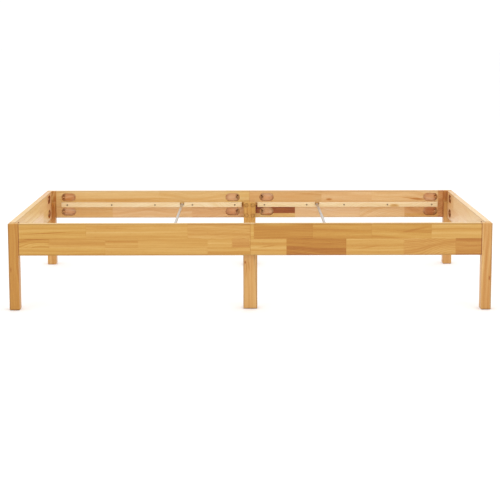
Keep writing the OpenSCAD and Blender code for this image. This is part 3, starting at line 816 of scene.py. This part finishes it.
DRAWN_SCALE = (30.0, 2600.0, 2600.0)  # lines to a metre, along the axis and across it
SPECK_SCALE = (1500.0,) * 3
BLOTCH_EDGES = (0.36, 0.70)  # of the noise, from plain to worn
DRAWN_SHADE = 0.9  # how much the lines vary the colour
DRAWN_ROUGHNESS = 0.35
WORN_ROUGHNESS = 0.12
SPECK_HEIGHT = 0.4  # the lines have 1
METAL_BUMP = 0.12
METAL_RELIEF = 0.0001  # metres
METALS = {  # plain colour, worn colour, roughness
    # one bronzed finish in two tones: lightened as painted light against the shade in the corner
    # pockets, darkened as painted shade at the seams
    "bronzed_steel_corner_lit": ((0.68, 0.37, 0.16), (0.76, 0.47, 0.23), 0.50),
    "bronzed_steel_seam_shaded": ((0.33, 0.165, 0.070), (0.44, 0.25, 0.115), 0.42),
    "bronzed_steel_washers": ((0.42, 0.20, 0.080), (0.52, 0.29, 0.125), 0.45),
    "turned_brass": ((0.62, 0.40, 0.13), (0.50, 0.30, 0.09), 0.30),
    "zinc_plate": ((0.62, 0.63, 0.64), (0.50, 0.51, 0.53), 0.30),
    "phosphated_steel": ((0.26, 0.165, 0.105), (0.36, 0.25, 0.165), 0.5),
    "brass_plate": ((0.66, 0.38, 0.12), (0.52, 0.27, 0.08), 0.34),
    "mill_aluminium": ((0.62, 0.62, 0.615), (0.53, 0.53, 0.535), 0.30),
}


def metal_material(name, axis="Z", blotches=22.0):
    """Satin metal with drawn lines along an axis and blotches to a metre of a worn finish."""
    plain, worn, roughness = METALS[name]
    n = Nodes.material(name)
    point = n.object_point()
    cloud = n.noise(point, (blotches,) * 3, detail=4.0, roughness=0.62)
    cloud = n.step(cloud, *BLOTCH_EDGES)
    drawn = n.noise(n.combine(*turned(n, point, axis)), DRAWN_SCALE, detail=3.0, roughness=0.55)
    speck = n.noise(point, SPECK_SCALE, detail=1.0)
    shade = n.swing(drawn, DRAWN_SHADE, cloud)
    colour = n.mix_colour(n.step(shade, -0.3, 1.3), plain, worn)
    rough = n.swing(drawn, DRAWN_ROUGHNESS, roughness)
    rough = n.plus(rough, cloud, WORN_ROUGHNESS)
    height = n.plus(drawn, speck, SPECK_HEIGHT)
    n.surface(colour, rough, n.bump(height, METAL_BUMP, METAL_RELIEF), metallic=1.0)
    return n.owner


def finish_small_parts():
    """Materials of the ledgers and of the CAD nodes in the joints."""
    for place, seed in zip(CORNERS, LEDGER_SEEDS):
        node = f"ledger_{place}"
        rows = [(HI.z, [(BOX[node][0].x, 1.0, 0.0, seed)])]
        marks = LEDGER_KNOTS.get(place, ())
        give(node, wood_material(f"pine_{node}", "X", BOX[node], rows, marks, tan=PINE))
    beech_rows = [(HI.z, [(LO.x, 1.0, 0.0, 0.37)])]
    looks = {
        "dowels": wood_material("beech_dowels", "X", CAD_BOX, beech_rows, tan=BEECH),
        "washers": metal_material("bronzed_steel_washers"),
        "inserts": metal_material("turned_brass"),
    }
    for node in NODES:
        for kind, material in looks.items():
            if kind in node:
                give(node, material)


# -------- lofted hardware

TURN = 24
EVEN = [math.tau * k / TURN for k in range(TURN)]  # angles round a turned piece
THREAD_STEPS = 5  # rings to a turn of thread
FLANK = 1.6  # how steeply a thread rises to its crest
CHAMFER = 0.0006

STUD_RADIUS = 0.004
MACHINE_THREAD = (STUD_RADIUS, 0.0006, 0.00125)  # radius, depth, pitch
ROOT = STUD_RADIUS - 0.0006
STUD_THREAD = 0.019  # how far the thread runs from each end
STUD_PLAIN = 0.0194  # where the plain middle starts
CORNER_STUD = 0.064

NUT_FLATS = 0.013
NUT_HEIGHT = 0.0065
NUT_FACE = 0.94 * NUT_FLATS / 2  # radius of its round face
NUT_SLOPE = math.tan(math.radians(30))
NUT_BORE = STUD_RADIUS + 0.00005
NUT_MOUTH = NUT_BORE + 0.0005

BOLT_HEAD = 0.0085  # radius
BOLT_SOCKET = 0.005
SOCKET_STEPS = [(0.9, 0.0032), (1.0, 0.0029), (1.0, 0.0003), (1.1, 0.0)]  # share of it, depth
BOLT_RIM = [(-0.0024, 0.0), (-0.0013, 0.00006), (-0.0005, 0.0004), (0.0, 0.0011),
            (0.0, 0.0026), (-0.0003, 0.003)]  # metres past the head's radius, depth
BOLT_NECK = [(STUD_RADIUS + 0.0003, 0.003), (ROOT, 0.0035), (ROOT, 0.024)]  # radius, depth
BOLT_THREAD = 0.0245  # where it starts
BOLT_POINT = 0.001

HEAD = 0.00425  # radius of a screw's head
CORE = 0.002  # radius of its shank
WOOD_THREAD = (CORE, 0.0006, 0.0019)
PAN_HEIGHT = 0.0026
RECESS = [(0.42, 0.0016), (0.9, 0.0003), (1.0, 0.00002)]  # share of the cross, depth
PAN_RECESS = [(0.42, 0.0017), (0.9, 0.0004), (1.0, 0.00002)]
COUNTERSUNK = [(HEAD - 0.0005, 0.0), (HEAD - 0.0001, 0.0001), (HEAD, 0.0003),
               (HEAD - 0.00005, 0.0005), (CORE - 0.0004, 0.0029)]
DOME = [(0.62 * HEAD, 0.0), (0.80 * HEAD, 0.00035), (0.92 * HEAD, 0.0009),
        (0.985 * HEAD, 0.0016), (HEAD, 0.0022), (HEAD - 0.0002, PAN_HEIGHT), (CORE, PAN_HEIGHT)]
# recess, outline, place of the top, start of the thread
FLUSH_HEAD = (RECESS, COUNTERSUNK, 0.0, 0.006)
ROUND_HEAD = (PAN_RECESS, DOME, -PAN_HEIGHT, 0.001)
LEDGER_SCREW_STEPS = (0.0, 0.215, 0.405, 0.625, 0.850)  # from the screw next to the middle leg

ARM = 0.0024  # half length and half width of a cross recess
ARM_WIDTH = 0.0006
ARM_ANGLE = math.atan(ARM_WIDTH / ARM)
CROSS = [
    quarter * math.pi / 2 + angle
    for quarter in range(4)
    for angle in (-ARM_ANGLE, 0.0, ARM_ANGLE, math.pi / 6, math.pi / 4, math.pi / 3)
]


def polar(radius, angle, z):
    """A point beside the axis."""
    return (radius * math.cos(angle), radius * math.sin(angle), z)


def circle(radius, z, angles=EVEN):
    """One ring of points."""
    return [polar(radius, a, z) for a in angles]


def hexagon(flats, z, grow=1.0):
    """A hexagon with its corners on the even angles, flats wide across its flats."""
    ring = []
    for a in EVEN:
        radius = grow * flats / 2 / math.cos(a % (math.pi / 3) - math.pi / 6)
        ring.append(polar(radius, a, z))
    return ring


def cross(z, grow=1.0):
    """The outline of a cross recess, on the cross angles."""
    ring = []
    for a in CROSS:
        off = abs((a + math.pi / 4) % (math.pi / 2) - math.pi / 4)
        radius = ARM / math.cos(off) if off <= ARM_ANGLE + 1e-6 else ARM_WIDTH / math.sin(off)
        ring.append(polar(grow * radius, a, z))
    return ring


def thread(form, start, end, angles=EVEN):
    """Rings of a helical thread from start to end, with a lead at both ends."""
    radius, depth, pitch = form
    count = max(THREAD_STEPS, round((end - start) / pitch * THREAD_STEPS))
    rings = []
    for k in range(count + 1):
        z = start + (end - start) * k / count
        lead = min(1.0, min(k, count - k) / THREAD_STEPS)
        ring = []
        for a in angles:
            phase = (z / pitch - a / math.tau) % 1.0
            crest = min(1.0, FLANK * (1.0 - abs(2.0 * phase - 1.0))) * lead
            ring.append(polar(radius - depth * (1.0 - crest), a, z))
        rings.append(ring)
    return rings


def stud_rings(length):
    """A double-ended stud: threads at both ends and a plain middle."""
    rings = [circle(ROOT - CHAMFER, 0.0)]
    rings += thread(MACHINE_THREAD, CHAMFER, STUD_THREAD)
    rings += [circle(ROOT, STUD_PLAIN), circle(ROOT, length - STUD_PLAIN)]
    rings += thread(MACHINE_THREAD, length - STUD_THREAD, length - CHAMFER)
    rings.append(circle(ROOT - CHAMFER, length))
    return rings


def nut_rings():
    """A chamfered hexagon nut, as a closed hoop of rings."""
    rims = []
    for x, y, _ in hexagon(NUT_FLATS, 0.0):
        rims.append((x, y, max(0.0, math.hypot(x, y) - NUT_FACE) * NUT_SLOPE))
    top = [(x, y, NUT_HEIGHT - drop) for x, y, drop in rims]
    return [
        circle(NUT_BORE, CHAMFER), circle(NUT_MOUTH, 0.0), circle(NUT_FACE, 0.0), rims,
        top, circle(NUT_FACE, NUT_HEIGHT), circle(NUT_MOUTH, NUT_HEIGHT),
        circle(NUT_BORE, NUT_HEIGHT - CHAMFER),
    ]


def bolt_rings(length):
    """A flat-headed connector bolt with a hexagon socket, its head at z = 0."""
    rings = [hexagon(BOLT_SOCKET, depth, share) for share, depth in SOCKET_STEPS]
    rings += [circle(BOLT_HEAD + past, depth) for past, depth in BOLT_RIM]
    rings += [circle(radius, depth) for radius, depth in BOLT_NECK]
    rings += thread(MACHINE_THREAD, BOLT_THREAD, length - BOLT_POINT)
    rings.append(circle(ROOT - 0.0005, length))
    return rings


def screw_rings(recess, rim, top, thread_start, length):
    """A cross-head wood screw, its head from top on and its shank at +Z."""
    rings = [cross(top + depth, share) for share, depth in recess]
    rings += [circle(radius, top + depth, CROSS) for radius, depth in rim]
    tip = length - 2 * CORE
    rings += thread(WOOD_THREAD, thread_start, tip, CROSS)
    rings += [circle(CORE * 0.45, (tip + length) / 2, CROSS), circle(0.0002, length, CROSS)]
    return rings


class Loft:
    """Collects lofted rings into one piece that stands for a CAD node."""

    def __init__(self):
        self.points = []
        self.faces = []

    def skin(self, rings, place, hoop=False):
        """Joins the rings with quads, and caps the ends unless they close into a hoop."""
        start, size, count = len(self.points), len(rings[0]), len(rings)
        self.points += [place @ Vector(point) for ring in rings for point in ring]
        for a in range(count if hoop else count - 1):
            low, high = start + a * size, start + (a + 1) % count * size
            for i in range(size):
                j = (i + 1) % size
                self.faces.append((low + i, low + j, high + j, high + i))
        if not hoop:
            self.faces.append(tuple(range(start + size - 1, start - 1, -1)))
            self.faces.append(tuple(range(start + (count - 1) * size, start + count * size)))

    def finish(self, name, node, slot, material):
        """Makes the piece, with sharp edges where its faces meet at an angle."""
        mesh = bpy.data.meshes.new(name)
        mesh.from_pydata(self.points, [], self.faces)
        work = bmesh.new()
        work.from_mesh(mesh)
        bmesh.ops.recalc_face_normals(work, faces=work.faces)
        work.to_mesh(mesh)
        work.free()
        mesh.shade_smooth()
        mesh.set_sharp_from_angle(angle=SHARP_ANGLE)
        mesh.materials.append(material)
        piece = add_object(name, mesh)
        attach(piece, "root")
        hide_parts(node)


def pointing(place, direction):
    """The matrix that puts +Z on a direction and +X on a line square to it."""
    z = Vector(direction)
    x = Vector((1, 0, 0)) if abs(z.z) > 0.5 else Vector((0, 0, 1))
    y = z.cross(x)
    return Matrix.Translation(place) @ Matrix((x, y, z)).transposed().to_4x4()


def reach(node, index):
    """How near and how far from the middle of the bed a node comes along an axis."""
    low, high = BOX[node]
    return sorted((abs(low[index]), abs(high[index])))


def corner_places(kind, corner):
    """The inner ends of the four connectors at a corner, each with its direction outwards."""
    side, end = corner.split("_")
    sx, sy = OUTWARD[end][0], OUTWARD[side][1]
    studs = f"corner_studs_{corner}"
    node = f"corner_{kind}_{corner}"
    low, high = BOX[studs]
    for z in (low.z + STUD_RADIUS, high.z - STUD_RADIUS):
        line_y = sy * (reach(studs, 1)[1] - STUD_RADIUS)
        line_x = sx * (reach(studs, 0)[1] - STUD_RADIUS)
        yield pointing((sx * reach(node, 0)[0], line_y, z), (sx, 0, 0))
        yield pointing((line_x, sy * reach(node, 1)[0], z), (0, sy, 0))


def seam_places(kind, side, ends):
    """The outer ends of the connectors across a seam, each with its direction inwards."""
    node = f"seam_{kind}_{side}"
    low, high = BOX[f"seam_studs_{side}"]
    for z in (low.z + STUD_RADIUS, high.z - STUD_RADIUS):
        for sx in ends:
            yield pointing((sx * BOX[node][1].x, (low.y + high.y) / 2, z), (-sx, 0, 0))


def build_connectors(joint, where, stud_places, nut_places, length, bronze):
    """The studs and nuts of a joint."""
    studs, nuts = Loft(), Loft()
    for place in stud_places:
        studs.skin(stud_rings(length), place)
    for place in nut_places:
        nuts.skin(nut_rings(), place, hoop=True)
    studs.finish(f"studs_{where}", f"{joint}_studs_{where}", "bronzed_steel", bronze)
    nuts.finish(f"nuts_{where}", f"{joint}_nuts_{where}", "bronzed_steel", bronze)


def build_ledger_screws(corner, black):
    """The screws through one ledger, driven outwards."""
    node = f"ledger_screws_{corner}"
    low, high = BOX[node]
    near, far = reach(node, 1)
    sx, sy = math.copysign(1, low.x), math.copysign(1, low.y)
    screws = Loft()
    for step in LEDGER_SCREW_STEPS:
        x = sx * (reach(node, 0)[0] + HEAD + step)
        place = pointing((x, sy * near, (low.z + high.z) / 2), (0, sy, 0))
        screws.skin(screw_rings(*FLUSH_HEAD, far - near), place)
    screws.finish(f"screws_{corner}", node, "dark_steel", black)


def build_leg_bolts(side, brass):
    """The four bolts that hold a middle leg, driven outwards."""
    node = f"mid_leg_bolts_{side}"
    low, high = BOX[node]
    near, far = reach(node, 1)
    sy = math.copysign(1, low.y)
    bolts = Loft()
    for sx in (-1, 1):
        for z in (low.z + BOLT_HEAD, high.z - BOLT_HEAD):
            place = pointing((sx * (high.x - BOLT_HEAD), sy * near, z), (0, sy, 0))
            bolts.skin(bolt_rings(far - near), place)
    bolts.finish(f"bolts_{side}", node, "bolt_brass", brass)


def build_bar_screws(end, zinc):
    """The two screws that hold a crossbar, driven down."""
    node = f"crossbar_screws_{end}"
    low, high = BOX[node]
    head = high.z - PAN_HEIGHT
    screws = Loft()
    for y in (low.y + HEAD, high.y - HEAD):
        place = pointing(((low.x + high.x) / 2, y, head), (0, 0, -1))
        screws.skin(screw_rings(*ROUND_HEAD, head - low.z), place)
    screws.finish(f"bar_screws_{end}", node, "zinc", zinc)


def build_hardware():
    """Detailed studs, nuts, bolts and screws in place of the plain CAD ones."""
    # the corner bronze is lightened as painted light, the seam bronze darkened as painted shade
    bronze = metal_material("bronzed_steel_corner_lit")
    shaded_seam_bronze = metal_material("bronzed_steel_seam_shaded")
    zinc = metal_material("zinc_plate")
    black = metal_material("phosphated_steel")
    brass = metal_material("brass_plate")
    for corner in CORNERS:
        places = [corner_places(kind, corner) for kind in ("studs", "nuts")]
        build_connectors("corner", corner, *places, CORNER_STUD, bronze)
        build_ledger_screws(corner, black)
    for side in SIDES:
        low, high = BOX[f"seam_studs_{side}"]
        places = [seam_places("studs", side, (1,)), seam_places("nuts", side, (1, -1))]
        build_connectors("seam", side, *places, high.x - low.x, shaded_seam_bronze)
        build_leg_bolts(side, brass)
    for end in ENDS:
        build_bar_screws(end, zinc)


# -------- crossbars

TUBE_DIAMETER = 0.013
PRESS_FROM = 0.436  # where the round tube starts to flatten, from the middle of the bed
PRESS_TO = 0.466  # where it is flat
PRESSED = 0.0024  # height of its flat ends
PRESS_STEPS = 12
END_RADIUS = 0.006  # of the flat ends' corners, seen from above
END_STEPS = 7
END_CHAMFER = 0.0008
HALF_RING = 18


def tube_section(height, width, x, y, bottom):
    """A round tube pressed to a height: two half circles and the flats between them."""
    ring = []
    radius = height / 2
    for sign in (1, -1):
        for k in range(HALF_RING):
            angle = math.pi * (k + 0.5) / HALF_RING - math.pi / 2
            across = sign * (radius * math.cos(angle) + (width - height) / 2)
            ring.append((x + across, y, bottom + radius + sign * radius * math.sin(angle)))
    return ring


def build_crossbar(end, material):
    """A tube across the ledgers, its ends pressed flat and screwed into the notches."""
    node = f"crossbar_{end}"
    low, high = BOX[node]
    x = (low.x + high.x) / 2
    flat_width = high.x - low.x
    centre = (low.z + high.z) / 2
    stations = []
    for k in range(PRESS_STEPS + 1):
        share = k / PRESS_STEPS
        eased = share * share * (3 - 2 * share)
        height = TUBE_DIAMETER + (PRESSED - TUBE_DIAMETER) * eased
        width = TUBE_DIAMETER + (flat_width - TUBE_DIAMETER) * eased
        y = PRESS_FROM + (PRESS_TO - PRESS_FROM) * share
        stations.append((y, height, width, centre - height / 2))
    for k in range(END_STEPS + 1):
        angle = math.pi / 2 * k / END_STEPS
        y = high.y - END_RADIUS + END_RADIUS * math.sin(angle)
        width = flat_width - 2 * END_RADIUS * (1 - math.cos(angle))
        thin = END_CHAMFER * (k == END_STEPS)
        stations.append((y, PRESSED - thin, width, centre - (PRESSED - thin) / 2))
    bar = Loft()
    rings = [tube_section(h, w, x, -y, z) for y, h, w, z in reversed(stations)]
    rings += [tube_section(h, w, x, y, z) for y, h, w, z in stations]
    bar.skin(rings, Matrix.Identity(4))
    bar.finish(f"bar_{end}", node, "crossbar_metal", material)


def build_crossbars():
    """Both crossbars."""
    aluminium = metal_material("mill_aluminium", "Y", blotches=14.0)
    for end in ENDS:
        build_crossbar(end, aluminium)


make_camera()
make_studio()
make_floor()
finish_woods()
finish_edges()
finish_small_parts()
build_hardware()
build_crossbars()
